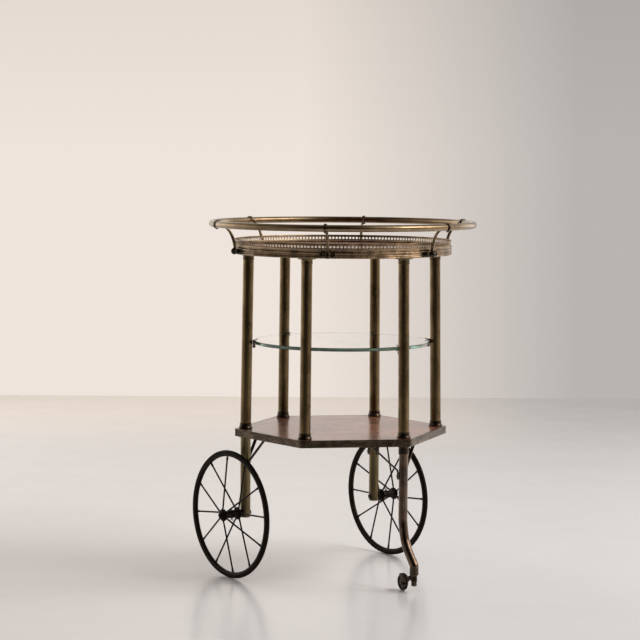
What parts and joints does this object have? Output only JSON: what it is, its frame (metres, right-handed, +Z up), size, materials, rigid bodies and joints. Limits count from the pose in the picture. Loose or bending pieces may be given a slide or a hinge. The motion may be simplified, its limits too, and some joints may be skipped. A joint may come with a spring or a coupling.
{
  "type": "bar cart",
  "caption": "Round bar cart with a pierced gallery tray and ring handrail on leaning tube columns, a glass shelf, a hexagonal wooden deck, spoked wheels and a swivel caster.",
  "frame": {"origin": "on the floor under the centre of the round tray", "axes": "+Z up, X along the axles of the two spoked wheels, the swivel caster at -Y, so the cart is wheeled towards +Y"},
  "size_m": [0.6466, 0.6466, 0.8662],
  "materials": {
    "brass_tube": "drawn brass tube with a brown patina, satin",
    "cast_brass": "cast and turned brass, darker in its hollows",
    "dark_brass": "brass strip and forgings gone almost black, satin",
    "wood_veneer": "red-brown veneer under a worn satin lacquer",
    "shelf_glass": "clear polished float glass, green at its edge",
    "black_enamel": "black enamelled steel, satin",
    "tyre_rubber": "solid black rubber, matt"
  },
  "bodies": {
    "cart_frame": {"deck_board": "wood_veneer", "deck_edge_band": "dark_brass", "column_front": "brass_tube", "column_front_right": "brass_tube", "column_back_right": "brass_tube", "column_back": "brass_tube", "column_back_left": "brass_tube", "column_front_left": "brass_tube", "column_foot_front": "cast_brass", "column_foot_front_right": "cast_brass", "column_foot_back_right": "cast_brass", "column_foot_back": "cast_brass", "column_foot_back_left": "cast_brass", "column_foot_front_left": "cast_brass", "glass_shelf": "shelf_glass", "shelf_clip_front": "dark_brass", "shelf_clip_front_right": "dark_brass", "shelf_clip_back_right": "dark_brass", "shelf_clip_back": "dark_brass", "shelf_clip_back_left": "dark_brass", "shelf_clip_front_left": "dark_brass", "tray_ring": "cast_brass", "tray_board": "wood_veneer", "gallery": "cast_brass", "handrail": "brass_tube", "rail_bracket_front": "cast_brass", "rail_bracket_front_right": "cast_brass", "rail_bracket_back_right": "cast_brass", "rail_bracket_back": "cast_brass", "rail_bracket_back_left": "cast_brass", "rail_bracket_front_left": "cast_brass", "leg_back_left": "brass_tube", "leg_back_right": "brass_tube", "leg_flange_back_left": "cast_brass", "leg_flange_back_right": "cast_brass", "leg_front": "brass_tube", "leg_collar_front": "cast_brass", "leg_brace_front_a": "dark_brass", "leg_brace_front_b": "dark_brass", "leg_brace_back_right_a": "dark_brass", "leg_brace_back_right_b": "dark_brass", "leg_brace_back_left_a": "dark_brass", "leg_brace_back_left_b": "dark_brass", "caster_socket": "cast_brass", "caster_pin": "dark_brass", "axle_left": "black_enamel", "axle_nut_left": "black_enamel", "axle_right": "black_enamel", "axle_nut_right": "black_enamel"},
    "left_wheel": {"tyre_left": "tyre_rubber", "rim_left": "black_enamel", "hub_and_spokes_left": "black_enamel"},
    "right_wheel": {"tyre_right": "tyre_rubber", "rim_right": "black_enamel", "hub_and_spokes_right": "black_enamel"},
    "caster_fork": {"caster_horn": "dark_brass", "caster_axle": "dark_brass"},
    "caster_wheel": {"caster_wheel": "black_enamel"}
  },
  "joints": [
    {"name": "left_wheel_spin", "type": "hinge", "parent": "cart_frame", "child": "left_wheel", "pos_m": [-0.24761, 0.11695, 0.155], "axis": [1, 0, 0], "continuous": true},
    {"name": "right_wheel_spin", "type": "hinge", "parent": "cart_frame", "child": "right_wheel", "pos_m": [0.24761, 0.11695, 0.155], "axis": [1, 0, 0], "continuous": true},
    {"name": "caster_swivel", "type": "hinge", "parent": "cart_frame", "child": "caster_fork", "pos_m": [0, -0.2759, 0], "axis": [0, 0, 1], "continuous": true},
    {"name": "caster_wheel_spin", "type": "hinge", "parent": "caster_fork", "child": "caster_wheel", "pos_m": [-0.00505, -0.24153, 0.0195], "axis": [-0.9925, 0.1219, 0], "continuous": true}
  ]
}
